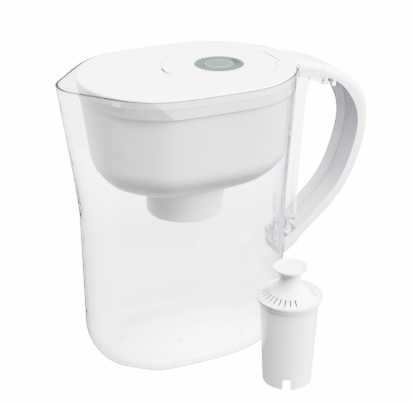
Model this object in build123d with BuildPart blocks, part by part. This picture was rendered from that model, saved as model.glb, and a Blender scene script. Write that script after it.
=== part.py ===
from build123d import *
import os
from math import sqrt

os.makedirs("parts", exist_ok=True)

# Water filter pitcher, in millimetres. The spout points to -X, the handle to +X and Z is up.
# The origin is the middle of the jug's base, on the surface that it stands on.
# A spare filter cartridge stands beside the jug.

# Clear jug: heights
rim_height = 259.0
waist_height = 140.0
shelf_height = 243.0
# Clear jug: plan at the rim and at the waist
rim_front = -104.0
rim_rear = 102.0
rim_half = 72.0
rim_mid = 30.0
waist_front = -87.0
waist_rear = 95.6
waist_half = 62.0
waist_mid = 4.3
# Clear jug: draft of its foot, blends and walls
foot_draft = 1.3
waist_blend = 120.0
base_round = 33.0
floor_thick = 2.6
jug_wall = 2.6
rim_wall = 1.5
rim_notch_half = 35.0
rim_notch_depth = 2.7
# Clear jug: the spine behind it that carries the handle
spine_reach = 19.0
spine_web = 3.0
spine_flange = 8.0
spine_flange_thick = 2.4
arm_tip_x = 149.0
arm_tip_z = 229.0
lug_foot_z = 90.0
arm_depth = 11.5
spine_hole_radius = 2.0
arm_hole_x = 136.0
arm_hole_z = 233.5
lug_hole_x = 110.0
lug_hole_z = 105.0

# Fits between the pieces
slide_fit = 0.4
rest_gap = 0.3

# Reservoir: the white bowl that hangs in the jug, and the sleeve under it
bowl_front = -85.5
bowl_band_height = 8.7
bowl_nose_radius = 73.0
bowl_nose_draft = 0.21
bowl_step = 0.9
bowl_clear = 1.0
bowl_draft = 0.13
bowl_wall = 2.0
bowl_floor = 165.0
bowl_round = 30.0
sleeve_x = 4.4
sleeve_drop = 29.0
sleeve_radius = 35.0
sleeve_taper = 0.8
sleeve_step = 1.0
sleeve_tier = 14.5
sleeve_wall = 2.2
seat_thick = 3.5
seat_rib_thick = 1.2
seat_rib_count = 6

# Lid
lid_rise = 1.0
lid_thick = 2.4
lid_skirt_wall = 2.2
lid_edge_round = 2.0
lid_tail_end = 126.8
lid_tail_drop = 7.1
lid_tail_base = 249.0
lid_tail_wall = 2.4
lid_tab_length = 7.0
lid_tab_height = 3.4
lid_tab_proud = 1.0
lid_tab_x = -69.4
lid_tab_y = 43.9
lid_tab_turn = 47.0

# Fill door in the lid, and its hinge
door_x = 37.1
door_radius = 48.0
door_gap = 0.5
door_thick = 2.4
door_ledge = 4.0
door_collar = 2.0
door_lip = 2.6
door_lip_wall = 1.6
hinge_x = 85.4
hinge_radius = 1.6
hinge_half = 14.0
hinge_chord = 81.6
trunnion_radius = 1.0
trunnion_length = 3.4
trunnion_fit = 0.2
socket_wall = 1.2
finger_notch_radius = 16.0
finger_notch_width = 2.5
finger_notch_depth = 1.4

# Filter status indicator in the door
face_radius = 20.8
face_thick = 0.9
case_depth = 8.9
case_wall = 1.4
case_top = 1.0
case_shoulder = 2.3
well_wall = 1.6
well_ledge = 1.2
button_radius = 9.6
button_fit = 0.35
button_proud = 0.1
button_travel = 0.5
button_shell = 1.0
board_thick = 1.0
board_post = 1.3
cell_radius = 10.0
cell_thick = 3.2
cover_thick = 1.2
gasket_thick = 0.8
lamp_offset = 14.2
guide_radius = 1.5
dome_radius = 3.0
dome_height = 0.7

# Handle: a white channel, open towards the jug
handle_half_top = 20.5
handle_half_foot = 16.5
handle_wall = 2.8
handle_web = 3.0
handle_round = 7.0
handle_reach = 175.7
handle_foot_z = 79.0
handle_shelf_thick = 2.4
foot_rib_x = 101.0
arm_rib_x = 112.0
rib_step = 8.0
rib_thick = 1.5
rib_split_z = 200.0

# Filter cartridge that stands beside the jug
cart_x = 60.7
cart_y = -90.2
cart_foot_radius = 21.2
cart_top_radius = 25.1
cart_flange_radius = 28.0
cart_flange_z = 82.0
cart_flange_thick = 2.2
cart_bead_radius = 26.6
cart_bead_height = 4.0
cart_wall = 1.5
cart_spigot = 3.6
cart_skirt = 11.0
cart_notch_width = 6.5
cart_notch_height = 10.0
cart_notch_angle = 241.0
cart_knob_radius = 14.3
cart_knob_z = 108.0
cart_neck_radius = 8.8
cart_slot_count = 10
cart_slot_step = 12.5
cart_slot_width = 1.5
cart_slot_inner = 17.0
cart_slot_outer = 23.4
cart_slot_angle = 20.0
cart_dash_radius = 25.8
cart_dash_width = 0.9
cart_dash_length = 2.6
screen_thick = 1.0

# Plans worked out from the sizes above
# Each plan holds front X, rear X, half width, X of the widest place, and how full its
# outline is at the nose, at the shoulder and at the heel, as shares of the half width
rim_plan = [rim_front, rim_rear, rim_half, rim_mid, 0.282, 0.735, sqrt(0.5)]
waist_plan = [waist_front, waist_rear, waist_half, waist_mid, 0.443, 0.76, 0.74]
foot_plan = [waist_front + foot_draft, waist_rear - foot_draft, waist_half - foot_draft, *waist_plan[3:]]
lid_top = rim_height + lid_rise
shelf_top = shelf_height + rest_gap
band_top = shelf_top + bowl_band_height


def blend(low, high, share):
    """A plan part of the way from one plan to another."""
    return [a + (b - a) * share for a, b in zip(low, high)]


def shrink(plan, inset):
    """The same plan with its outline moved inwards."""
    front, rear, half, *rest = plan
    return [front + inset, rear - inset, half - inset, *rest]


def jug_plan(z):
    """Outer plan of the jug above its waist."""
    return blend(waist_plan, rim_plan, (z - waist_height) / (rim_height - waist_height))


def oval(plan, z):
    """Face of a plan at one height, symmetric about the X axis."""
    front, rear, half, mid, nose, shoulder, heel = plan
    with BuildSketch(Plane.XY.offset(z)) as outline:
        with BuildLine():
            Spline(
                (front, 0),
                (mid + 0.93 * (front - mid), nose * half),
                (mid + 0.72 * (front - mid), shoulder * half),
                (mid, half),
                tangents=((0, 1), (1, 0)),
            )
            Spline(
                (mid, half),
                (mid + heel * (rear - mid), heel * half),
                (rear, 0),
                tangents=((1, 0), (0, -1)),
            )
            mirror(about=Plane.XZ)
        make_face()
    return outline.sketch.face()


def ovals(stations):
    """Faces through (height, plan) pairs, to loft through."""
    return [oval(plan, z) for z, plan in stations]


def turned(points, x=0, y=0):
    """Solid turned about a vertical axis at (x, y) from (radius, height) points."""
    with BuildPart() as body:
        with BuildSketch(Plane((x, y, 0), x_dir=(1, 0, 0), z_dir=(0, -1, 0))):
            with BuildLine():
                Polyline(*points, close=True)
            make_face()
        revolve(axis=Axis((x, y, 0), (0, 0, 1)))
    return body.part


def ring(inner, outer, low, high, x=0, y=0):
    """Flat ring, or a disc where the inner radius is nought."""
    return turned([(inner, low), (outer, low), (outer, high), (inner, high)], x, y)


def insert_form(low, high, inset=0.0):
    """Solid that fits in the jug's rim between two heights, with a rounded nose behind the spout."""
    nose_x = bowl_front + bowl_nose_radius
    low_nose, high_nose = (bowl_nose_radius - bowl_nose_draft * (lid_top - z) - inset for z in (low, high))
    with BuildPart() as nose:
        add(turned([(0, low), (low_nose, low), (high_nose, high), (0, high)], nose_x))
        with Locations((nose_x, 0, low)):
            Box(rim_rear - nose_x, 2 * rim_half, high - low, align=(Align.MIN, Align.CENTER, Align.MIN))
    with BuildPart() as form:
        loft(ovals([(z, shrink(jug_plan(z), rim_wall + slide_fit + inset)) for z in (low, high)]))
        add(nose.part, mode=Mode.INTERSECT)
    return form.part


def finish(builder, name):
    """Label a piece and write its file."""
    builder.part.label = name
    export_step(builder.part, f"parts/{name}.step")


# Clear jug: one moulding with a shelf for the reservoir, a notch in the rim for the lid's
# tail, and a flanged spine behind it that carries the handle
back_x = waist_rear - foot_draft
collar_x = rim_rear + 2 * rest_gap
handle_shelf_z = lid_tail_base - rest_gap
arm_top_z = handle_shelf_z - handle_shelf_thick - rest_gap
spine_top_x = jug_plan(arm_tip_z)[1] + spine_reach
spine_foot_x = back_x + spine_reach
handle_foot_x = waist_rear - rest_gap


def rounded_floor(form, z, radius):
    """Rolls a round along the bottom edge of a form that is being built."""
    fillet(form.edges().filter_by(lambda edge: abs(edge.center().Z - z) < 0.1), radius)


def jug_form(inset, floor_z):
    """Solid of the jug up to its rim, moved inwards by a wall."""
    waist = shrink(waist_plan, inset)
    with BuildPart() as form:
        loft(ovals([(floor_z, shrink(foot_plan, inset)), (waist_height, waist)]))
        loft(ovals([(waist_height, waist), (rim_height, shrink(rim_plan, inset))]))
        fillet(form.edges().filter_by(lambda edge: abs(edge.center().Z - waist_height) < 1), waist_blend)
        rounded_floor(form, floor_z, base_round - inset)
    return form.part


with BuildSketch(Plane.XZ) as spine_outline:
    with BuildLine():
        Polyline(
            (back_x - jug_wall, lug_foot_z - 6),
            (back_x + 3, lug_foot_z - 6),
            (spine_foot_x + 1, lug_foot_z + 7),
            (spine_foot_x, lug_foot_z + 36),
            (spine_top_x, arm_tip_z - 6),
            (spine_top_x + 4, arm_top_z - arm_depth),
            (arm_tip_x - 1, arm_tip_z - 3),
            (arm_tip_x + 1, arm_tip_z + 7),
            (arm_tip_x - 27, arm_top_z),
            (back_x, arm_top_z),
            close=True,
        )
    make_face()

with BuildPart() as vessel:
    add(jug_form(0, 0))
    extrude(spine_outline.sketch, amount=spine_web / 2, both=True)
    with BuildSketch(Plane.XZ):
        add(spine_outline.sketch)
        offset(spine_outline.sketch, amount=-spine_flange_thick, mode=Mode.SUBTRACT)
    extrude(amount=spine_flange / 2, both=True)
    with Locations(Plane.XZ):
        with Locations((arm_hole_x, arm_hole_z), (lug_hole_x, lug_hole_z)):
            Cylinder(2 * spine_hole_radius, spine_flange)
            Hole(spine_hole_radius)
    add(jug_form(jug_wall, floor_thick), mode=Mode.SUBTRACT)
    add(insert_form(shelf_height, rim_height, -slide_fit), mode=Mode.SUBTRACT)
    with BuildSketch(Plane.XY.offset(rim_height - rim_notch_depth)):
        with Locations((rim_rear, 0)):
            Rectangle(2 * (rim_rear - hinge_x), 2 * rim_notch_half)
    extrude(amount=rim_notch_depth, mode=Mode.SUBTRACT)
finish(vessel, "vessel")


# Grip: the outer form that the handle and the lid's tail share, drawn from the side and
# narrowed towards the foot
tail_z = rim_height - rim_notch_depth + rest_gap
tail_start_x = hinge_x + 7
grip_points = [
    (tail_start_x, lid_top),
    (collar_x + 9, lid_top - 2.2),
    (lid_tail_end, lid_top - lid_tail_drop),
    (151, 241),
    (168.5, 224),
    (handle_reach, 198),
    (handle_reach - 5, 164),
    (147, 120.5),
    (114, 90),
    (handle_foot_x, handle_foot_z - 4),
]
with BuildLine(Plane.XZ) as grip_back:
    Spline(*grip_points, tangents=((1, 0), (-1, -0.6)))
back = grip_back.edges()[0]


def under_back(depth, *shares):
    """Points at a depth under the grip's back, at shares of its length."""
    for share in shares:
        point = back @ share
        along = back % share
        yield point.X + depth * along.Z, point.Z - depth * along.X


def grip_wedge(inset):
    """Block that narrows towards the handle's foot, to trim its sides."""
    with BuildPart() as wedge:
        with BuildSketch(Plane.YZ.offset(tail_start_x - 10)):
            with BuildLine():
                Polyline(
                    (inset - handle_half_foot, handle_foot_z - 10),
                    (handle_half_foot - inset, handle_foot_z - 10),
                    (handle_half_top - inset, lid_top),
                    (inset - handle_half_top, lid_top),
                    close=True,
                )
            make_face()
        extrude(amount=handle_reach - tail_start_x + 20)
    return wedge.part


with BuildPart() as grip:
    with BuildSketch(Plane.XZ.offset(-handle_half_top)):
        with BuildLine():
            Spline(*grip_points, tangents=((1, 0), (-1, -0.6)))
            inner_line = Spline(
                (handle_foot_x, handle_foot_z + 13),
                *under_back(12, 0.82, 0.7, 0.55, 0.4, 0.28),
                (collar_x, handle_shelf_z - 4),
                tangents=((1, 0.5), (-1, 0)),
            )
            Polyline(grip_points[-1], inner_line @ 0)
            Polyline(inner_line @ 1, (collar_x, tail_z), (tail_start_x, tail_z), grip_points[0])
        make_face()
    extrude(amount=2 * handle_half_top)
    add(grip_wedge(0), mode=Mode.INTERSECT)
    long_edges = grip.edges().filter_by(lambda edge: edge.length > back.length * 0.97)
    fillet(long_edges, handle_round)

with BuildPart() as grip_channel:
    with BuildSketch(Plane.XZ.offset(-handle_half_top)):
        with BuildLine():
            floor_line = Spline(
                (lid_tail_end - 4, handle_shelf_z - handle_shelf_thick),
                *under_back(handle_web, 0.2, 0.3, 0.4, 0.5, 0.6, 0.7, 0.8, 0.9),
                (back_x - 4, handle_foot_z),
                tangents=((1, -0.2), (-1, -0.6)),
            )
            Polyline(
                floor_line @ 1,
                (back_x - 4, lug_foot_z + 40),
                (collar_x - 4, arm_tip_z),
                (collar_x - 4, handle_shelf_z - handle_shelf_thick),
                floor_line @ 0,
            )
        make_face()
    extrude(amount=2 * handle_half_top)
    add(grip_wedge(handle_wall), mode=Mode.INTERSECT)


# Handle: the grip without the tail, hollowed from the jug's side, with ribs that hold the
# spine's arm and lug in the middle of the channel
with BuildPart() as handle_ribs:
    for x, low, high in ((foot_rib_x, 0, rib_split_z), (arm_rib_x, rib_split_z, handle_shelf_z)):
        for side in (-1, 1):
            near_y = side * (spine_flange / 2 + rest_gap)
            with Locations((x, near_y, low), (x + rib_step, near_y, low)):
                Box(
                    rib_thick,
                    handle_half_foot - spine_flange / 2,
                    high - low,
                    align=(Align.CENTER, Align.MIN if side > 0 else Align.MAX, Align.MIN),
                )
    add(grip.part, mode=Mode.INTERSECT)

with BuildPart() as handle:
    add(grip.part)
    with Locations((tail_start_x, 0, handle_shelf_z)):
        Box(
            lid_tail_end + slide_fit - tail_start_x,
            2 * handle_half_top,
            lid_top,
            align=(Align.MIN, Align.CENTER, Align.MIN),
            mode=Mode.SUBTRACT,
        )
    add(grip_channel.part, mode=Mode.SUBTRACT)
    add(handle_ribs.part)
finish(handle, "handle")


# Reservoir: a drafted bowl with a band that rests on the jug's shelf, and the open sleeve
# under its floor, whose seat holds a filter cartridge by its flange
seat_radius = cart_top_radius + slide_fit
sleeve_z = bowl_floor - sleeve_drop
tier_z = sleeve_z + sleeve_tier
seat_top = sleeve_z + seat_thick
sleeve_foot = sleeve_radius - 2 * sleeve_taper - sleeve_step
pocket_radius = sleeve_foot - sleeve_wall


def bowl_plan(z, inset):
    """Plan of the bowl at a height, clear of the jug's wall, moved inwards by a wall."""
    _, rear, half, mid, *_ = shrink(jug_plan(z), jug_wall + bowl_clear + inset)
    front = bowl_front + bowl_nose_draft * (lid_top - shelf_top) + bowl_step
    front += bowl_draft * (shelf_top - z)
    return [front + inset, rear, half, mid, 0.45, 0.79, 0.715]


def bowl_form(inset):
    """Solid of the bowl below its band, moved inwards by a wall."""
    floor_z = bowl_floor + inset
    with BuildPart() as form:
        loft(ovals([(z, bowl_plan(z, inset)) for z in (floor_z, shelf_top + inset)]))
        rounded_floor(form, floor_z, bowl_round - inset)
    return form.part


with BuildPart() as reservoir:
    add(bowl_form(0))
    add(insert_form(shelf_top, band_top))
    add(
        turned(
            [
                (0, sleeve_z),
                (sleeve_foot, sleeve_z),
                (sleeve_foot + sleeve_taper, tier_z),
                (sleeve_foot + sleeve_taper + sleeve_step, tier_z),
                (sleeve_radius, bowl_floor + bowl_wall),
                (0, bowl_floor + bowl_wall),
            ],
            sleeve_x,
        )
    )
    add(bowl_form(bowl_wall), mode=Mode.SUBTRACT)
    add(insert_form(shelf_top + bowl_wall, band_top, bowl_wall), mode=Mode.SUBTRACT)
    add(
        turned(
            [
                (0, seat_top),
                (pocket_radius, seat_top),
                (pocket_radius + sleeve_taper, tier_z),
                (sleeve_radius - sleeve_wall - sleeve_taper, tier_z + 2),
                (sleeve_radius - sleeve_wall, bowl_floor + bowl_wall),
                (sleeve_radius - sleeve_wall, shelf_height),
                (0, shelf_height),
            ],
            sleeve_x,
        ),
        mode=Mode.SUBTRACT,
    )
    rib_length = pocket_radius - cart_flange_radius - slide_fit + 0.5
    with Locations((sleeve_x, 0, seat_top)):
        with PolarLocations(pocket_radius + 0.5 - rib_length / 2, seat_rib_count):
            Box(rib_length, seat_rib_thick, 9, align=(Align.CENTER, Align.CENTER, Align.MIN))
    with Locations((sleeve_x, 0, sleeve_z)):
        Cylinder(seat_radius, seat_thick, align=(Align.CENTER, Align.CENTER, Align.MIN), mode=Mode.SUBTRACT)
finish(reservoir, "reservoir")


# Lid: a plate with a skirt, a round opening with a recessed ledge for the door, sockets for
# the door's trunnions, and a tail that passes over the rim's notch on to the handle
lid_base = band_top + rest_gap
lid_under = lid_top - lid_thick
recess_radius = door_radius + door_gap
recess_z = lid_under - rest_gap
opening_radius = recess_radius - door_ledge
hinge_z = lid_top - hinge_radius
pocket_half = hinge_half + door_gap

with BuildPart() as lid_tail:
    add(grip.part)
    with Locations((tail_start_x, 0, lid_tail_base)):
        Box(
            lid_tail_end - tail_start_x,
            2 * handle_half_top,
            lid_top - lid_tail_base,
            align=(Align.MIN, Align.CENTER, Align.MIN),
            mode=Mode.INTERSECT,
        )
    with Locations(((collar_x + lid_tail_end) / 2, 0, lid_tail_base)):
        Box(
            lid_tail_end - collar_x - 2 * lid_tail_wall,
            2 * (handle_half_top - lid_tail_wall),
            lid_top - lid_tail_drop - lid_tail_wall - lid_tail_base,
            align=(Align.CENTER, Align.CENTER, Align.MIN),
            mode=Mode.SUBTRACT,
        )

with BuildPart() as lid:
    add(insert_form(lid_base, lid_top))
    fillet(lid.faces().sort_by(Axis.Z)[-1].edges(), lid_edge_round)
    add(insert_form(lid_base, lid_under, lid_skirt_wall), mode=Mode.SUBTRACT)
    with BuildSketch(Plane.XY.offset(tail_z)):
        with Locations((rim_mid, 0)):
            Circle(rim_half)
        with Locations((rim_rear, 0)):
            Rectangle(2 * (rim_rear - tail_start_x), 2 * (rim_notch_half - slide_fit), mode=Mode.INTERSECT)
    extrude(amount=lid_top - tail_z)
    add(lid_tail.part)
    add(ring(opening_radius, recess_radius + door_collar, recess_z - door_collar, lid_top, door_x))
    for side in (-1, 1):
        socket_y = side * (pocket_half + (trunnion_length + socket_wall) / 2)
        with Locations((hinge_x, socket_y, recess_z - door_collar)):
            Box(
                2 * (trunnion_radius + trunnion_fit + socket_wall),
                trunnion_length + socket_wall,
                lid_top - recess_z + door_collar,
                align=(Align.CENTER, Align.CENTER, Align.MIN),
            )
    add(ring(0, recess_radius, recess_z, lid_top + 1, door_x), mode=Mode.SUBTRACT)
    add(ring(0, opening_radius, lid_base, lid_top, door_x), mode=Mode.SUBTRACT)
    with Locations((hinge_chord - door_gap, 0, recess_z - door_collar)):
        Box(
            hinge_x + hinge_radius + door_gap - hinge_chord + door_gap,
            2 * pocket_half,
            lid_top,
            align=(Align.MIN, Align.CENTER, Align.MIN),
            mode=Mode.SUBTRACT,
        )
    with Locations(Plane((hinge_x, 0, hinge_z), z_dir=(0, 1, 0))):
        Cylinder(
            trunnion_radius + trunnion_fit,
            2 * (pocket_half + trunnion_length + 0.2),
            mode=Mode.SUBTRACT,
        )
    notch_x = door_x - recess_radius - finger_notch_width + finger_notch_radius
    notch_z = lid_top - finger_notch_depth
    add(ring(0, finger_notch_radius, notch_z, lid_top + 1, notch_x), mode=Mode.SUBTRACT)
    for side in (-1, 1):
        tab_place = Location((lid_tab_x, side * lid_tab_y, lid_base + 0.4), (0, 0, side * lid_tab_turn))
        with Locations(tab_place):
            Box(
                lid_tab_length,
                2 * lid_tab_proud,
                lid_tab_height,
                align=(Align.CENTER, Align.CENTER, Align.MIN),
            )
finish(lid, "lid")


# Fill door: a disc with a stiffening lip, a hinge knuckle with trunnions, and a well for the
# status indicator
face_z = lid_top - face_thick
case_z = face_z - case_depth
well_radius = face_radius + 0.25
well_z = case_z - well_ledge
ledge_radius = face_radius - case_wall

with BuildPart() as fill_door:
    add(ring(0, door_radius, lid_under, lid_top, door_x))
    with Locations((hinge_chord, 0, lid_under)):
        Box(
            door_radius,
            2 * door_radius,
            door_thick,
            align=(Align.MIN, Align.CENTER, Align.MIN),
            mode=Mode.SUBTRACT,
        )
    lip_radius = opening_radius - 2 * door_gap
    add(ring(lip_radius - door_lip_wall, lip_radius, lid_under - door_lip, lid_under, door_x))
    with Locations((hinge_chord, 0, lid_under)):
        Box(hinge_x - hinge_chord, 2 * hinge_half, door_thick, align=(Align.MIN, Align.CENTER, Align.MIN))
    with Locations(Plane((hinge_x, 0, hinge_z), z_dir=(0, 1, 0))):
        Cylinder(hinge_radius, 2 * hinge_half)
        Cylinder(trunnion_radius, 2 * (hinge_half + trunnion_length))
    add(ring(ledge_radius, well_radius + well_wall, well_z, lid_under, door_x))
    add(ring(0, well_radius, case_z, lid_top, door_x), mode=Mode.SUBTRACT)
    add(ring(0, ledge_radius, well_z, case_z, door_x), mode=Mode.SUBTRACT)
finish(fill_door, "fill_door")


# Status indicator: case, face, lens, lamp, board, switch dome, coin cell, clip, seal and cover
hole_radius = button_radius + button_fit
shoulder_z = case_z + case_shoulder
bore_radius = ledge_radius - case_wall
plate_z = face_z - case_top
cover_z = case_z + 0.1
gasket_z = cover_z + cover_thick + 0.1
cell_z = gasket_z + 0.1
board_z = cell_z + cell_thick + 0.1
board_top = board_z + board_thick
lamp_x = door_x - lamp_offset
post_ring = lamp_offset + 0.3

with BuildPart() as indicator_case:
    add(
        turned(
            [
                (bore_radius, shoulder_z),
                (ledge_radius, shoulder_z),
                (ledge_radius, case_z),
                (face_radius, case_z),
                (face_radius, face_z),
                (hole_radius, face_z),
                (hole_radius, plate_z),
                (bore_radius, plate_z),
            ],
            door_x,
        )
    )
    with Locations((door_x, 0, board_top)):
        with PolarLocations(post_ring, 4, start_angle=45):
            Cylinder(board_post, plate_z - board_top, align=(Align.CENTER, Align.CENTER, Align.MIN))
    with Locations((lamp_x, 0, plate_z)):
        Cylinder(
            guide_radius + 0.1,
            case_top,
            align=(Align.CENTER, Align.CENTER, Align.MIN),
            mode=Mode.SUBTRACT,
        )
finish(indicator_case, "indicator_case")

with BuildPart() as indicator_face:
    add(ring(hole_radius, face_radius, face_z, lid_top, door_x))
    with Locations((lamp_x, 0, face_z)):
        Cylinder(
            guide_radius + 0.1,
            face_thick,
            align=(Align.CENTER, Align.CENTER, Align.MIN),
            mode=Mode.SUBTRACT,
        )
finish(indicator_face, "indicator_face")

lamp_height = 1.1
with BuildPart() as light_guide:
    add(ring(0, guide_radius, board_top + lamp_height, lid_top, lamp_x))
finish(light_guide, "light_guide")

with BuildPart() as status_lamp:
    with Locations((lamp_x, 0, board_top)):
        Box(2.8, 2.0, lamp_height, align=(Align.CENTER, Align.CENTER, Align.MIN))
finish(status_lamp, "status_lamp")

with BuildPart() as circuit_board:
    add(ring(0, bore_radius - 0.2, board_z, board_top, door_x))
finish(circuit_board, "circuit_board")

with BuildPart() as switch_dome:
    add(
        turned(
            [
                (0, board_top),
                (dome_radius, board_top),
                (dome_radius * 0.7, board_top + 0.8 * dome_height),
                (0, board_top + dome_height),
            ],
            door_x,
        )
    )
finish(switch_dome, "switch_dome")

with BuildPart() as coin_cell:
    add(ring(0, cell_radius, cell_z, cell_z + cell_thick, door_x))
    fillet(coin_cell.edges().sort_by(Axis.Z)[0], 0.5)
finish(coin_cell, "coin_cell")

clip_inner = cell_radius + 0.15
with BuildPart() as battery_clip:
    with BuildSketch(Plane.XY.offset(cell_z + 0.5)):
        with Locations((door_x, 0)):
            Circle(clip_inner + 0.4)
            Circle(clip_inner, mode=Mode.SUBTRACT)
        with Locations((door_x + clip_inner, 0)):
            Rectangle(clip_inner, 2 * clip_inner, mode=Mode.INTERSECT)
    extrude(amount=board_z - cell_z - 0.5)
finish(battery_clip, "battery_clip")

with BuildPart() as case_seal:
    add(ring(bore_radius - 1.0, ledge_radius - 0.2, gasket_z, gasket_z + gasket_thick, door_x))
finish(case_seal, "case_seal")

with BuildPart() as battery_cover:
    add(ring(0, ledge_radius - 0.3, cover_z, cover_z + cover_thick, door_x))
    with Locations((door_x, 0, cover_z)):
        Box(12, 2, 0.7, align=(Align.CENTER, Align.CENTER, Align.MIN), mode=Mode.SUBTRACT)
finish(battery_cover, "battery_cover")

button_top = lid_top + button_proud
button_base = board_top + dome_height + button_travel + 0.1
with BuildPart() as status_button:
    add(
        turned(
            [
                (0, button_base),
                (2, button_base),
                (2, button_top - button_shell),
                (button_radius - button_shell, button_top - button_shell),
                (button_radius - button_shell, button_base),
                (button_radius + 1.4, button_base),
                (button_radius + 1.4, plate_z - 0.2),
                (button_radius, plate_z - 0.2),
                (button_radius, button_top - 0.3),
                (button_radius - 0.3, button_top),
                (0, button_top),
            ],
            door_x,
        )
    )
finish(status_button, "status_button")


# Filter cartridge: a drafted cup with a notched skirt, a cap with a carrying knob and slots,
# the filter medium, and a screen at each end of it
cap_z = cart_flange_z - cart_flange_thick
cup_z = cart_skirt
groups = (cart_slot_angle, cart_slot_angle + 180)
slot_span = (cart_slot_count - 1) * cart_slot_step


def cup_radius(z):
    """Outer radius of the cartridge's cup at a height."""
    return cart_foot_radius + (cart_top_radius - cart_foot_radius) * z / cap_z


with BuildPart() as cartridge_cup:
    add(
        turned(
            [
                (cup_radius(0) - cart_wall, 0),
                (cup_radius(0), 0),
                (cup_radius(cap_z - cart_bead_height), cap_z - cart_bead_height),
                (cart_bead_radius, cap_z - cart_bead_height + 0.8),
                (cart_bead_radius, cap_z),
                (cup_radius(cap_z) - cart_wall, cap_z),
                (cup_radius(cup_z + cart_wall) - cart_wall, cup_z + cart_wall),
                (cart_foot_radius - 5, cup_z + cart_wall),
                (cart_foot_radius - 5, cup_z),
                (cup_radius(cup_z) - cart_wall, cup_z),
            ],
            cart_x,
            cart_y,
        )
    )
    with Locations(Location((cart_x, cart_y, 0), (0, 0, cart_notch_angle))):
        Box(
            2 * cart_foot_radius,
            cart_notch_width,
            cart_notch_height,
            align=(Align.MIN, Align.CENTER, Align.MIN),
            mode=Mode.SUBTRACT,
        )
finish(cartridge_cup, "cartridge_cup")

with BuildPart() as cartridge_cap:
    with BuildSketch(Plane((cart_x, cart_y, 0), x_dir=(1, 0, 0), z_dir=(0, -1, 0))):
        with BuildLine():
            cone = Spline(
                (cart_flange_radius - 3.4, cart_flange_z),
                (16, cart_flange_z + 4.5),
                (cart_neck_radius + 0.6, cart_flange_z + 12.5),
                (cart_neck_radius, cart_flange_z + 17),
                (cart_knob_radius, cart_knob_z - 1.4),
                tangents=((-1, 0.25), (1, 0.7)),
            )
            Polyline(
                cone @ 1,
                (cart_knob_radius, cart_knob_z),
                (cart_knob_radius - 1, cart_knob_z),
                (cart_knob_radius - 3.5, cart_knob_z - 1.6),
                (0, cart_knob_z - 2.2),
                (0, cart_flange_z + 11),
                (6.6, cart_flange_z + 9.5),
                (15, cart_flange_z + 2.6),
                (22, cart_flange_z - 0.8),
                (22, cap_z - cart_spigot),
                (cup_radius(cap_z - cart_spigot) - cart_wall - 0.1, cap_z - cart_spigot),
                (cup_radius(cap_z) - cart_wall - 0.1, cap_z),
                (cart_flange_radius, cap_z),
                (cart_flange_radius, cart_flange_z),
                cone @ 0,
            )
        make_face()
    revolve(axis=Axis((cart_x, cart_y, 0), (0, 0, 1)))
    slot_middle = (cart_slot_inner + cart_slot_outer) / 2
    with Locations((cart_x, cart_y, cap_z)):
        for group in groups:
            start = group - slot_span / 2
            with PolarLocations(slot_middle, cart_slot_count, start, slot_span, endpoint=True):
                Box(
                    cart_slot_outer - cart_slot_inner,
                    cart_slot_width,
                    12,
                    align=(Align.CENTER, Align.CENTER, Align.MIN),
                    mode=Mode.SUBTRACT,
                )
            with PolarLocations(cart_dash_radius, cart_slot_count, start, slot_span, endpoint=True):
                with Locations((0, 0, cart_flange_thick - 0.8)):
                    Box(
                        cart_dash_width,
                        cart_dash_length,
                        1,
                        align=(Align.CENTER, Align.CENTER, Align.MIN),
                        mode=Mode.SUBTRACT,
                    )
finish(cartridge_cap, "cartridge_cap")

media_base = cup_z + cart_wall + screen_thick
media_top = cap_z - cart_spigot - screen_thick - 0.2
lining = cart_wall + 0.2

with BuildPart() as lower_screen:
    add(ring(0, cup_radius(media_base) - lining, media_base - screen_thick, media_base, cart_x, cart_y))
finish(lower_screen, "lower_screen")

with BuildPart() as filter_medium:
    add(
        turned(
            [
                (0, media_base),
                (cup_radius(media_base) - lining, media_base),
                (cup_radius(media_top) - lining, media_top),
                (0, media_top),
            ],
            cart_x,
            cart_y,
        )
    )
finish(filter_medium, "filter_medium")

with BuildPart() as upper_screen:
    add(ring(0, cup_radius(media_top) - lining, media_top, media_top + screen_thick, cart_x, cart_y))
finish(upper_screen, "upper_screen")
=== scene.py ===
from math import cos, pi, sin

import bmesh
import bpy
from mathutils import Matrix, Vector


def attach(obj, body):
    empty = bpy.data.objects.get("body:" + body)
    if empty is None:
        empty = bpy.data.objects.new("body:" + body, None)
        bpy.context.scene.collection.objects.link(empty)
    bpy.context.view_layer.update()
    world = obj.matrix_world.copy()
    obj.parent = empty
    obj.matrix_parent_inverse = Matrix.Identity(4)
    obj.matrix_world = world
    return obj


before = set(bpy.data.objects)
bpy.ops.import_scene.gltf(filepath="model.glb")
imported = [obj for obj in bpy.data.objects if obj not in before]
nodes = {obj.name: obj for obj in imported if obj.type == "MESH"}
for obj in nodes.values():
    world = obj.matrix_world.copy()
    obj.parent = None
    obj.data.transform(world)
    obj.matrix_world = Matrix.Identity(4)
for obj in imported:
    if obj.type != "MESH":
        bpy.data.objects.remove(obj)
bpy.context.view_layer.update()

# Studio: a table and walls of luminous white board, with soft light from overhead and from the
# right. Each sheet is seen by one kind of ray only: the camera sees clean white, and the clear
# jug shows a dimmer white through its walls.
eye = Vector((-0.3555, -0.8261, 0.5522))
look = Vector((0.3807, 0.8261, -0.4154))
image_width, focal_pixels = 412, 1147.5
film_width = 36

camera_data = bpy.data.cameras.new("camera")
camera_data.sensor_width = film_width
camera_data.lens = film_width * focal_pixels / image_width
camera = bpy.data.objects.new("camera", camera_data)
camera.location = eye
camera.rotation_mode = "QUATERNION"
camera.rotation_quaternion = look.to_track_quat("-Z", "Y")
bpy.context.scene.collection.objects.link(camera)
bpy.context.scene.camera = camera


def linear(code):
    """Linear colour of an sRGB hex code."""
    parts = [int(code[i : i + 2], 16) / 255 for i in (0, 2, 4)]
    return [c / 12.92 if c <= 0.04045 else ((c + 0.055) / 1.055) ** 2.4 for c in parts] + [1.0]


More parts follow.
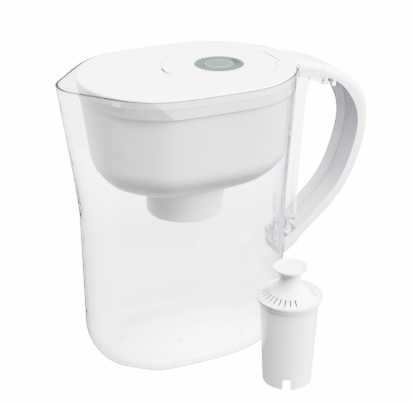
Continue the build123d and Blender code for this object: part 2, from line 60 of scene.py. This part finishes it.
def add_node(tree, kind, inputs=None, **settings):
    """A shader node with its settings, and its inputs set to values or linked to outputs."""
    node = tree.nodes.new(kind)
    for name, value in settings.items():
        setattr(node, name, value)
    for name, value in (inputs or {}).items():
        socket = node.inputs[name]
        if isinstance(value, bpy.types.NodeSocket):
            tree.links.new(value, socket)
        else:
            socket.default_value = value
    return node


def set_steps(ramp, steps):
    """Sets a colour ramp to (position, colour) steps."""
    marks = ramp.color_ramp.elements
    while len(marks) > 1:
        marks.remove(marks[-1])
    marks[0].position, marks[0].color = steps[0]
    for position, colour in steps[1:]:
        marks.new(position).color = colour


def new_material(name):
    """An empty node material and its tree."""
    material = bpy.data.materials.new(name)
    material.use_nodes = True
    material.node_tree.nodes.clear()
    return material, material.node_tree


def new_object(name, mesh_builder, material):
    """A smooth object from a bmesh, with one material."""
    mesh = bpy.data.meshes.new(name)
    mesh_builder.to_mesh(mesh)
    mesh_builder.free()
    mesh.materials.append(material)
    for polygon in mesh.polygons:
        polygon.use_smooth = True
    thing = bpy.data.objects.new(name, mesh)
    bpy.context.scene.collection.objects.link(thing)
    return thing


def lit_sheet(name, full, fades, centre):
    """Painted board that glows, even white with a fine tooth, and clear from behind. Its share
    of the full strength follows (metres from the centre, share) steps. The real tooth is about
    0.3 mm, and it is drawn at 1.1 mm to show at all."""
    teeth_per_cm = 9
    material, tree = new_material(name)
    place = add_node(tree, "ShaderNodeTexCoord")
    distance = add_node(
        tree, "ShaderNodeVectorMath", {0: place.outputs["Object"], 1: centre}, operation="DISTANCE"
    )
    share = add_node(tree, "ShaderNodeValToRGB", {"Fac": distance.outputs["Value"]})
    set_steps(share, [(reach, [part, part, part, 1]) for reach, part in fades])
    strength = add_node(
        tree, "ShaderNodeMath", {0: share.outputs["Color"], 1: float(full)}, operation="MULTIPLY"
    )
    tooth = add_node(
        tree,
        "ShaderNodeTexNoise",
        {"Vector": place.outputs["Object"], "Scale": teeth_per_cm / 0.01},
    )
    shade = add_node(
        tree,
        "ShaderNodeMix",
        {"Factor": tooth.outputs["Fac"], "A": linear("FCFCFC"), "B": linear("FFFFFF")},
        data_type="RGBA",
    )
    glow = add_node(
        tree,
        "ShaderNodeEmission",
        {"Color": shade.outputs["Result"], "Strength": strength.outputs["Value"]},
    )
    side = add_node(tree, "ShaderNodeNewGeometry")
    nothing = add_node(tree, "ShaderNodeBsdfTransparent")
    one_sided = add_node(
        tree,
        "ShaderNodeMixShader",
        {0: side.outputs["Backfacing"], 1: glow.outputs["Emission"], 2: nothing.outputs["BSDF"]},
    )
    add_node(tree, "ShaderNodeOutputMaterial", {"Surface": one_sided.outputs["Shader"]})
    return material


def staged(name, faces, material, seen_by):
    """Flat pieces of the studio that only one kind of ray sees."""
    sheet = bmesh.new()
    for points in faces:
        sheet.faces.new([sheet.verts.new(point) for point in points])
    thing = new_object(name, sheet, material)
    for rays in ("camera", "diffuse", "glossy", "transmission", "shadow", "volume_scatter"):
        setattr(thing, "visible_" + rays, rays == seen_by)


def square(reach, z):
    """Corners of a square about the pitcher."""
    return [(-reach, -reach, z), (reach, -reach, z), (reach, reach, z), (-reach, reach, z)]


ahead = Vector((look.x, look.y, 0)).normalized()
aside = Vector((ahead.y, -ahead.x, 0))
past_white = 16  # the strength at which the tone curve reaches full white
room_reach, wall_foot = 20.0, -0.01
sheet_gap, wall_gap = 0.0006, 0.01  # the gap under the table in metres, and a share of the room

# Through the jug, the table is brightest under its foot and dimmest about 0.18 m from there.
pool = aside * 0.05 - ahead * 0.02
pool_fades = [
    (0.02, 0.8),
    (0.07, 0.5),
    (0.11, 0.33),
    (0.18, 0.31),
    (0.3, 0.34),
    (0.45, 0.52),
    (1.0, 0.52),
]
for seen_by, layer, fades in (("camera", 1, [(0.0, 1.0)]), ("transmission", 2, pool_fades)):
    board = lit_sheet("lit_white_for_" + seen_by, past_white, fades, pool)
    table = square(room_reach, -layer * sheet_gap)
    staged("lit_table_for_" + seen_by, [table], board, seen_by)
    wall_reach = room_reach * (1 - wall_gap * layer)
    low, high = (square(wall_reach, z) for z in (wall_foot, room_reach))
    walls = [[low[i], low[i - 1], high[i - 1], high[i]] for i in range(4)]
    staged("lit_wall_for_" + seen_by, walls, board, seen_by)

# All that lights the object is in the world, as three soft glows over ranges of direction: the
# dim room, which fades below the horizon, a broad box overhead, and a box to the right.
world = bpy.data.worlds.new("overhead_and_side_soft_light")
world.use_nodes = True
tree = world.node_tree
tree.nodes.clear()
way = add_node(tree, "ShaderNodeTexCoord")
upward = add_node(tree, "ShaderNodeSeparateXYZ", {"Vector": way.outputs["Generated"]})
key_way = (aside * 0.85 - ahead * 0.15 + Vector((0, 0, 0.5))).normalized()  # right and up
toward_key = add_node(
    tree,
    "ShaderNodeVectorMath",
    {0: way.outputs["Generated"], 1: key_way},
    operation="DOT_PRODUCT",
)
glows = []
for direction, (start, end), (dim, bright) in (
    (upward.outputs["Z"], (-0.05, 0.15), (0.1, 1.1)),
    (upward.outputs["Z"], (0.55, 0.95), (0.0, 12.5)),
    (toward_key.outputs["Value"], (0.7, 0.95), (0.0, 21.0)),
):
    glow = add_node(
        tree,
        "ShaderNodeMapRange",
        {"Value": direction, "From Min": start, "From Max": end, "To Min": dim, "To Max": bright},
        interpolation_type="SMOOTHSTEP",
    )
    glows.append(glow.outputs["Result"])
room_and_box = add_node(tree, "ShaderNodeMath", {0: glows[0], 1: glows[1]}, operation="ADD")
all_light = add_node(
    tree, "ShaderNodeMath", {0: room_and_box.outputs["Value"], 1: glows[2]}, operation="ADD"
)
sky = add_node(
    tree,
    "ShaderNodeBackground",
    {"Color": linear("FFFFFF"), "Strength": all_light.outputs["Value"]},
)
add_node(tree, "ShaderNodeOutputWorld", {"Surface": sky.outputs["Background"]})
bpy.context.scene.world = world

# Clear jug: one injection moulding in SAN, a hard clear plastic, which stands on its foot and
# carries all the rest. Its polished mould makes it glassy and almost unseen face on, with a
# faint violet tint. Painted shade darkens it where it is seen edge on, in place of the dark
# surroundings it would refract, and a painted violet-grey line runs along the rim, where light
# leaves the wall.
rim_height = 0.259
rim_line_start, rim_line_full = rim_height - 0.0012, rim_height - 0.0004
flow_length = 0.04
polished, hazy = 0.0, 0.03
# Painted shade: the jug's colour from face on to edge on, darkening toward the edge.
painted_edge_shades = (
    (0.0, "FBFBFD"),
    (0.5, "F6F6FB"),
    (0.72, "CDCBD8"),
    (0.86, "666371"),
    (1.0, "524F5D"),
)
clear, tree = new_material("moulded_clear_san")
place = add_node(tree, "ShaderNodeTexCoord")
flow = add_node(
    tree,
    "ShaderNodeTexNoise",
    {"Vector": place.outputs["Object"], "Scale": 1 / flow_length, "Detail": 1.0},
)
haze = add_node(
    tree,
    "ShaderNodeMapRange",
    {"Value": flow.outputs["Fac"], "To Min": polished, "To Max": hazy},
)
# Painted shade: the colour darkens where the wall is seen edge on.
edge_on = add_node(tree, "ShaderNodeLayerWeight", {"Blend": 0.5})
edge_shade = add_node(tree, "ShaderNodeValToRGB", {"Fac": edge_on.outputs["Facing"]})
set_steps(edge_shade, [(facing, linear(code)) for facing, code in painted_edge_shades])
# Painted shade: a violet-grey line near the top of the rim.
level = add_node(tree, "ShaderNodeSeparateXYZ", {"Vector": place.outputs["Object"]})
at_rim = add_node(
    tree,
    "ShaderNodeMapRange",
    {"Value": level.outputs["Z"], "From Min": rim_line_start, "From Max": rim_line_full},
)
painted_rim_line = add_node(
    tree,
    "ShaderNodeMix",
    {"Factor": at_rim.outputs["Result"], "A": edge_shade.outputs["Color"], "B": linear("8F8A9C")},
    data_type="RGBA",
)
plastic = add_node(
    tree,
    "ShaderNodeBsdfPrincipled",
    {
        "Base Color": painted_rim_line.outputs["Result"],
        "Roughness": haze.outputs["Result"],
        "IOR": 1.5,
        "Transmission Weight": 1.0,
    },
)
add_node(tree, "ShaderNodeOutputMaterial", {"Surface": plastic.outputs["BSDF"]})


def dress(node, material):
    """Gives a CAD node its material."""
    node.data.materials.clear()
    node.data.materials.append(material)


# Clear plastic hardly shades what is in it, so the jug takes no light from the bowl.
dress(nodes["vessel"], clear)
nodes["vessel"].visible_diffuse = False
nodes["vessel"].visible_shadow = False


# Gate mark: the ring and pip that the injection gate leaves in the middle of the jug's floor,
# one piece with it. It is spark eroded, so it is frosted white where the jug is clear. The real
# pits are about 0.05 mm, and they are drawn at 0.25 mm to show.
def lathed(name, outline, centre, material):
    """An object turned about a vertical axis from (radius, height) points, in metres."""
    form = bmesh.new()
    points = [form.verts.new((radius, 0, height)) for radius, height in outline]
    edges = [form.edges.new(pair) for pair in zip(points, points[1:])]
    bmesh.ops.spin(
        form, geom=points + edges, axis=(0, 0, 1), cent=(0, 0, 0), steps=48, angle=2 * pi
    )
    bmesh.ops.remove_doubles(form, verts=form.verts, dist=1e-6)
    bmesh.ops.recalc_face_normals(form, faces=form.faces)
    thing = new_object(name, form, material)
    thing.location = centre
    return thing


pit_size = 0.00025
frosted, tree = new_material("spark_eroded_clear_san")
place = add_node(tree, "ShaderNodeTexCoord")
pits = add_node(
    tree, "ShaderNodeTexNoise", {"Vector": place.outputs["Object"], "Scale": 1 / pit_size}
)
shade = add_node(
    tree,
    "ShaderNodeMix",
    {"Factor": pits.outputs["Fac"], "A": linear("F2F2F6"), "B": linear("FFFFFF")},
    data_type="RGBA",
)
rough = add_node(
    tree,
    "ShaderNodeBsdfPrincipled",
    {"Base Color": shade.outputs["Result"], "Roughness": 0.5, "IOR": 1.5},
)
add_node(tree, "ShaderNodeOutputMaterial", {"Surface": rough.outputs["BSDF"]})

trim_level = 0.0027  # 0.1 mm over the jug's floor, so that no two faces lie in one plane
gate_outline = [
    (0.0, 0.0006),
    (0.0008, 0.0006),
    (0.0012, 0.0002),
    (0.0024, 0.0002),
    (0.0028, 0.0005),
    (0.0032, 0.0005),
    (0.0036, 0.0),
]
gate_mark = lathed("gate_mark", gate_outline, (0, 0, trim_level), frosted)
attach(gate_mark, "pitcher")

# Floor line: the low bead round the flat of the jug's floor, where the insert of the mould's
# core ends. It is one piece with the floor, and has the gate mark's frosted finish.
floor_middle, floor_half_length, floor_half_width = 0.004, 0.055, 0.0265
squareness = 2.5  # 2 would be an ellipse
bead_half_width, bead_height, bead_steps = 0.0005, 0.0004, 96
bead_section = ((-bead_half_width, 0), (0, bead_height), (bead_half_width, 0))
bead = bmesh.new()
rings = []
for step in range(bead_steps):
    turn = 2 * pi * step / bead_steps
    way = Vector((cos(turn), sin(turn), 0))
    along = abs(way.x / floor_half_length) ** squareness
    across = abs(way.y / floor_half_width) ** squareness
    reach = (along + across) ** (-1 / squareness)
    rings.append([
        bead.verts.new(way * (reach + out) + Vector((floor_middle, 0, trim_level + up)))
        for out, up in bead_section
    ])
for one, two in zip(rings, rings[1:] + rings[:1]):
    for k in range(2):
        bead.faces.new((one[k], one[k + 1], two[k + 1], two[k]))
bmesh.ops.recalc_face_normals(bead, faces=bead.faces)
floor_line = new_object("floor_line", bead, frosted)
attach(floor_line, "pitcher")


# Handle: a channel moulded in white polypropylene, which is pushed over the jug's spine. The
# eroded steel of its mould gives it an even satin. Painted shade turns the faces that look at
# the jug cool grey, and painted shade darkens its creases.
def moulded(
    name,
    light,
    dark,
    roughness,
    ior,
    painted_crease_shade=(0.004, 0.9, 0.2),
    painted_side_shade=((0, 0, -1), "A8A8B0"),
):
    """Moulded plastic: two near shades that drift over 30 mm, painted shade in creases by
    (reach, openness that is bare, darkest share), painted shade on faces turned one way as
    (direction, colour), rounded edges and the grain of the mould, about 0.15 mm, drawn four
    times as coarse to show."""
    drift_size, grain_size, grain_depth = 0.03, 0.0006, 0.00001
    edge_radius, gloss_spread = 0.0004, 0.04
    shut, turn_start, turn_end = 0.1, -0.05, 0.65
    reach, bare, darkest = painted_crease_shade
    away, shade_hex = painted_side_shade
    material, tree = new_material(name)
    place = add_node(tree, "ShaderNodeTexCoord")
    drift = add_node(
        tree, "ShaderNodeTexNoise", {"Vector": place.outputs["Object"], "Scale": 1 / drift_size}
    )
    shade = add_node(
        tree,
        "ShaderNodeMix",
        {"Factor": drift.outputs["Fac"], "A": linear(dark), "B": linear(light)},
        data_type="RGBA",
    )
    # Painted shade: ambient occlusion darkens the colour in creases and gaps.
    crease = add_node(tree, "ShaderNodeAmbientOcclusion", {"Distance": reach}, samples=8)
    deep = add_node(
        tree,
        "ShaderNodeMapRange",
        {
            "Value": crease.outputs["AO"],
            "From Min": shut,
            "From Max": bare,
            "To Min": darkest,
            "To Max": 1.0,
        },
    )
    # Painted shade: faces turned toward the given direction are mixed toward the shade colour.
    turned = add_node(
        tree,
        "ShaderNodeVectorMath",
        {0: place.outputs["Normal"], 1: Vector(away).normalized()},
        operation="DOT_PRODUCT",
    )
    in_shade = add_node(
        tree,
        "ShaderNodeMapRange",
        {"Value": turned.outputs["Value"], "From Min": turn_start, "From Max": turn_end},
        interpolation_type="SMOOTHSTEP",
    )
    side_shaded = add_node(
        tree,
        "ShaderNodeMix",
        {
            "Factor": in_shade.outputs["Result"],
            "A": shade.outputs["Result"],
            "B": linear(shade_hex),
        },
        data_type="RGBA",
    )
    shaded = add_node(
        tree,
        "ShaderNodeVectorMath",
        {0: side_shaded.outputs["Result"], "Scale": deep.outputs["Result"]},
        operation="SCALE",
    )
    grain = add_node(
        tree,
        "ShaderNodeTexNoise",
        {"Vector": place.outputs["Object"], "Scale": 1 / grain_size, "Detail": 2.0},
    )
    gloss = add_node(
        tree,
        "ShaderNodeMapRange",
        {
            "Value": grain.outputs["Fac"],
            "To Min": roughness - gloss_spread,
            "To Max": roughness + gloss_spread,
        },
    )
    rounded = add_node(tree, "ShaderNodeBevel", {"Radius": edge_radius}, samples=4)
    bump = add_node(
        tree,
        "ShaderNodeBump",
        {
            "Height": grain.outputs["Fac"],
            "Distance": grain_depth,
            "Normal": rounded.outputs["Normal"],
        },
    )
    plastic = add_node(
        tree,
        "ShaderNodeBsdfPrincipled",
        {
            "Base Color": shaded.outputs["Vector"],
            "Roughness": gloss.outputs["Result"],
            "IOR": ior,
            "Normal": bump.outputs["Normal"],
        },
    )
    add_node(tree, "ShaderNodeOutputMaterial", {"Surface": plastic.outputs["BSDF"]})
    return material


polypropylene_ior = 1.49
# Painted shade: creases darkened, and faces turned to the jug and down mixed toward cool grey.
handle_white = moulded(
    "moulded_channel_polypropylene",
    light="F6F6F8",
    dark="F0F0F3",
    roughness=0.3,
    ior=polypropylene_ior,
    painted_crease_shade=(0.003, 0.7, 0.5),
    painted_side_shade=((-0.85, 0, -0.5), "BCBBC8"),
)
dress(nodes["handle"], handle_white)

# Reservoir: a deep bowl moulded in white polypropylene, which hangs in the jug on its band and
# carries the filter's sleeve. Its mould is the roughest, so it looks flat. Its white is painted a
# little grey for the shade of the jug round it, painted shade darkens its underside, and a wide
# painted shade darkens the crease above its sleeve.
bowl_shaded_grey = moulded(
    "moulded_matte_polypropylene",
    light="DCDCDC",
    dark="D8D8D9",
    roughness=0.42,
    ior=polypropylene_ior,
    painted_crease_shade=(0.012, 0.95, 0.05),
    painted_side_shade=((0, 0, -1), "4E4E54"),
)
dress(nodes["reservoir"], bowl_shaded_grey)

# Lid and fill door: a plate with a skirt that sits on the bowl, and a disc that turns in it on
# two trunnions, both moulded in white polypropylene. Their satin is the brightest of all. A thin
# line of painted shade runs round the door where the gap is deep, and painted shade darkens
# the faces turned down.
white = moulded(
    "moulded_satin_polypropylene",
    light="F3F3F4",
    dark="EEEEF0",
    roughness=0.28,
    ior=polypropylene_ior,
    painted_crease_shade=(0.005, 0.95, 0.03),
)
for name in ("lid", "fill_door"):
    dress(nodes[name], white)

# Indicator case and battery cover: two mouldings in pale ABS. The case is let into the door,
# and the cover closes it from below. ABS is a cooler grey than the lid, and duller, with painted
# shade in its creases and on faces turned down.
case_grey = moulded(
    "moulded_pale_abs", light="E6E8EA", dark="DEE0E3", roughness=0.4, ior=1.52
)
for name in ("indicator_case", "battery_cover"):
    dress(nodes[name], case_grey)

# Indicator face: a disc of polycarbonate printed in slate, set in the case round the button.
# The ink lies in rings of near shades with a soft gloss. The colour is darker in an oval at the
# side toward the handle.
door_centre = (0.0371, 0, 0)
face_radius = 0.0208


def ringed(name, bands, roughness, ior, mark=None):
    """Printed or moulded plastic whose shade changes with the distance from the door's centre,
    over (radius, hex colour) steps, with a soft oval mark as (middle, half sizes, colour). The
    real speckle is about 0.2 mm, and it is drawn at 1.1 mm to show."""
    speckles_per_cm, speckle_depth, gloss_spread = 9, 0.000005, 0.05
    solid, gone = 0.6, 1.1
    material, tree = new_material(name)
    place = add_node(tree, "ShaderNodeTexCoord")
    flat = add_node(
        tree,
        "ShaderNodeVectorMath",
        {0: place.outputs["Object"], 1: (1, 1, 0)},
        operation="MULTIPLY",
    )
    reach = add_node(
        tree,
        "ShaderNodeVectorMath",
        {0: flat.outputs["Vector"], 1: door_centre},
        operation="DISTANCE",
    )
    share = add_node(
        tree, "ShaderNodeMapRange", {"Value": reach.outputs["Value"], "From Max": face_radius}
    )
    ramp = add_node(tree, "ShaderNodeValToRGB", {"Fac": share.outputs["Result"]})
    set_steps(ramp, [(radius / face_radius, linear(code)) for radius, code in bands])
    colour = ramp.outputs["Color"]
    if mark:
        middle, (half_x, half_y), mark_hex = mark
        offset = add_node(
            tree,
            "ShaderNodeVectorMath",
            {0: flat.outputs["Vector"], 1: middle},
            operation="SUBTRACT",
        )
        scaled = add_node(
            tree,
            "ShaderNodeVectorMath",
            {0: offset.outputs["Vector"], 1: (1 / half_x, 1 / half_y, 0)},
            operation="MULTIPLY",
        )
        size = add_node(
            tree, "ShaderNodeVectorMath", {0: scaled.outputs["Vector"]}, operation="LENGTH"
        )
        inside = add_node(
            tree,
            "ShaderNodeMapRange",
            {
                "Value": size.outputs["Value"],
                "From Min": solid,
                "From Max": gone,
                "To Min": 1.0,
                "To Max": 0.0,
            },
        )
        marked = add_node(
            tree,
            "ShaderNodeMix",
            {"Factor": inside.outputs["Result"], "A": colour, "B": linear(mark_hex)},
            data_type="RGBA",
        )
        colour = marked.outputs["Result"]
    speckle = add_node(
        tree,
        "ShaderNodeTexNoise",
        {"Vector": place.outputs["Object"], "Scale": speckles_per_cm / 0.01},
    )
    gloss = add_node(
        tree,
        "ShaderNodeMapRange",
        {
            "Value": speckle.outputs["Fac"],
            "To Min": roughness - gloss_spread,
            "To Max": roughness + gloss_spread,
        },
    )
    bump = add_node(
        tree, "ShaderNodeBump", {"Height": speckle.outputs["Fac"], "Distance": speckle_depth}
    )
    plastic = add_node(
        tree,
        "ShaderNodeBsdfPrincipled",
        {
            "Base Color": colour,
            "Roughness": gloss.outputs["Result"],
            "IOR": ior,
            "Normal": bump.outputs["Normal"],
        },
    )
    add_node(tree, "ShaderNodeOutputMaterial", {"Surface": plastic.outputs["BSDF"]})
    return material


slate_bands = [
    (0.0, "36423F"),
    (0.0104, "3C4846"),
    (0.0108, "64716E"),
    (0.0114, "64716E"),
    (0.0118, "323F42"),
    (0.0192, "333F44"),
    (0.0204, "434F54"),
]
slate_dark_oval = ((0.0525, 0, 0), (0.003, 0.009), "141C22")
slate = ringed(
    "printed_slate_polycarbonate", slate_bands, roughness=0.25, ior=1.58, mark=slate_dark_oval
)
dress(nodes["indicator_face"], slate)

# Status button: a round button moulded in sage green silicone, which springs back on the dome
# under it. Silicone is duller than the ink, and a paler ring shows near its edge.
sage_bands = [
    (0.0, "44504D"),
    (0.0080, "404B49"),
    (0.0084, "545F5D"),
    (0.0094, "545F5D"),
    (0.0096, "3A4543"),
]
sage = ringed("moulded_sage_silicone", sage_bands, roughness=0.35, ior=1.41)
dress(nodes["status_button"], sage)


# Light guide and status lamp: a rod of polished acrylic, glassy with faint ripples about 3 mm
# long, and a lamp cast in epoxy, milky with clouds of about 1 mm. The rod stands in the case
# over the lamp, and the lamp on the board.
def patterned(name, kind, texture, light, dark, depth, finish, stretch=(1, 1, 1)):
    """A surface with a texture that mixes two colours and raises the surface by a depth, with
    the rest of its finish as sockets of the shader."""
    material, tree = new_material(name)
    place = add_node(tree, "ShaderNodeTexCoord")
    spread = add_node(
        tree, "ShaderNodeMapping", {"Vector": place.outputs["Object"], "Scale": stretch}
    )
    pattern = add_node(tree, kind, {"Vector": spread.outputs["Vector"], **texture})
    height = pattern.outputs["Distance" if kind == "ShaderNodeTexVoronoi" else "Fac"]
    shade = add_node(
        tree,
        "ShaderNodeMix",
        {"Factor": height, "A": linear(dark), "B": linear(light)},
        data_type="RGBA",
    )
    bump = add_node(tree, "ShaderNodeBump", {"Height": height, "Distance": depth})
    surface = add_node(
        tree,
        "ShaderNodeBsdfPrincipled",
        {"Base Color": shade.outputs["Result"], "Normal": bump.outputs["Normal"], **finish},
    )
    add_node(tree, "ShaderNodeOutputMaterial", {"Surface": surface.outputs["BSDF"]})
    return material


ripples_per_cm, clouds_per_cm = 3, 9
clear_rod = patterned(
    "polished_clear_acrylic",
    "ShaderNodeTexNoise",
    {"Scale": ripples_per_cm / 0.01},
    light="F4F8F8",
    dark="E8F0F0",
    depth=0.000002,
    finish={"Roughness": 0.03, "IOR": 1.49, "Transmission Weight": 1.0},
)
dress(nodes["light_guide"], clear_rod)
lamp_epoxy = patterned(
    "cast_milky_epoxy",
    "ShaderNodeTexNoise",
    {"Scale": clouds_per_cm / 0.01},
    light="D8DED2",
    dark="BFC6B8",
    depth=0.000004,
    finish={"Roughness": 0.2, "IOR": 1.55},
)
dress(nodes["status_lamp"], lamp_epoxy)

# Circuit board: a disc of glass laminate under green lacquer, held between case and cover.
# Copper tracks show through the lacquer as raised lines of a brighter green, round fields of
# about 2 by 1 mm: half the texture's size long and a quarter of it wide.
track_patterns_per_cm = 2.6
lacquer = patterned(
    "green_lacquered_laminate",
    "ShaderNodeTexBrick",
    {"Scale": track_patterns_per_cm / 0.01},
    light="2E7A4A",
    dark="1F5A36",
    depth=0.00003,
    finish={"Roughness": 0.3, "IOR": 1.5},
)
dress(nodes["circuit_board"], lacquer)

# Switch dome and coin cell: a snap dome on the board and a battery below it, both stamped from
# stainless steel sheet. Its rolling lines, about 0.03 mm wide and drawn at 0.17 mm, brush the
# shine one way. The lines are counted along their length, and are this much closer across it.
rolling_lines_per_cm, rolling_stretch = 5, 12
stamped = patterned(
    "stamped_stainless_steel",
    "ShaderNodeTexNoise",
    {"Scale": rolling_lines_per_cm / 0.01},
    light="CFCDC8",
    dark="BDBBB6",
    depth=0.000004,
    finish={"Metallic": 1.0, "Roughness": 0.28},
    stretch=(1, rolling_stretch, 1),
)
for name in ("switch_dome", "coin_cell"):
    dress(nodes[name], stamped)

# Battery clip: a strip of spring steel, tin plated and bent round the battery's side, which it
# presses on. The plating is whiter and duller than the battery, with finer lines the other way.
plating_lines_per_cm = 7
plated = patterned(
    "tin_plated_spring_steel",
    "ShaderNodeTexNoise",
    {"Scale": plating_lines_per_cm / 0.01},
    light="D6D5D0",
    dark="C4C3BE",
    depth=0.000004,
    finish={"Metallic": 1.0, "Roughness": 0.35},
    stretch=(rolling_stretch, 1, 1),
)
dress(nodes["battery_clip"], plated)

# Case seal: a ring moulded in dark silicone rubber, pressed between case and cover. It is dull
# and nearly black, with a grain of about 0.1 mm that is drawn at 0.7 mm to show.
rubber_grains_per_cm = 15
rubber = patterned(
    "moulded_silicone_rubber",
    "ShaderNodeTexNoise",
    {"Scale": rubber_grains_per_cm / 0.01},
    light="3A3A3C",
    dark="2C2C2E",
    depth=0.00002,
    finish={"Roughness": 0.7, "IOR": 1.41},
)
dress(nodes["case_seal"], rubber)

# Cartridge cap: the flange, cone and knob of the spare filter, moulded in one in polypropylene
# and pressed on the cup. It has a higher gloss than the lid and a touch of lavender. Painted
# shade darkens it under the knob, on the faces turned away from the light and down, and in
# the slots.
cap_white = moulded(
    "moulded_pale_polypropylene",
    light="FAFAFF",
    dark="F4F4FA",
    roughness=0.24,
    ior=polypropylene_ior,
    painted_crease_shade=(0.014, 1.0, 0.02),
    painted_side_shade=((-0.5, 0.1, -0.85), "90909A"),
)
dress(nodes["cartridge_cap"], cap_white)

# Cartridge cup: the drafted body of the filter with its notched skirt, moulded in the same
# polypropylene as the cap. Its smooth sides take a long soft highlight, with no dark lines, and
# painted shade darkens its creases and the faces turned down.
lavender = moulded(
    "moulded_lavender_polypropylene",
    light="FBFBFF",
    dark="F6F6FB",
    roughness=0.24,
    ior=polypropylene_ior,
    painted_crease_shade=(0.01, 0.95, 0.15),
)
dress(nodes["cartridge_cup"], lavender)

# Upper and lower screen: discs of woven nylon that hold the granules in from above and below.
# They look like a fine check, drawn dark grey as painted shade so that the cap's slots look dark.
# The threads are about 0.3 mm apart, drawn at 0.6 mm to show.
thread_spacing = 0.0006
nylon_shaded_dark = patterned(
    "woven_nylon_screen",
    "ShaderNodeTexChecker",
    {"Scale": 1 / thread_spacing},
    light="8E8E8C",
    dark="3E3E3C",
    depth=0.0001,
    finish={"Roughness": 0.6, "IOR": 1.53},
)
for name in ("upper_screen", "lower_screen"):
    dress(nodes[name], nylon_shaded_dark)

# Filter medium: crushed activated carbon, poured in between the screens. Its grains are about
# 1.2 mm, black and dull, each a little paler at its edge.
grain_width = 0.0012
granules = patterned(
    "crushed_activated_carbon",
    "ShaderNodeTexVoronoi",
    {"Scale": 1 / grain_width},
    light="4A4A47",
    dark="141413",
    depth=0.0004,
    finish={"Roughness": 0.85, "IOR": 1.5},
)
dress(nodes["filter_medium"], granules)
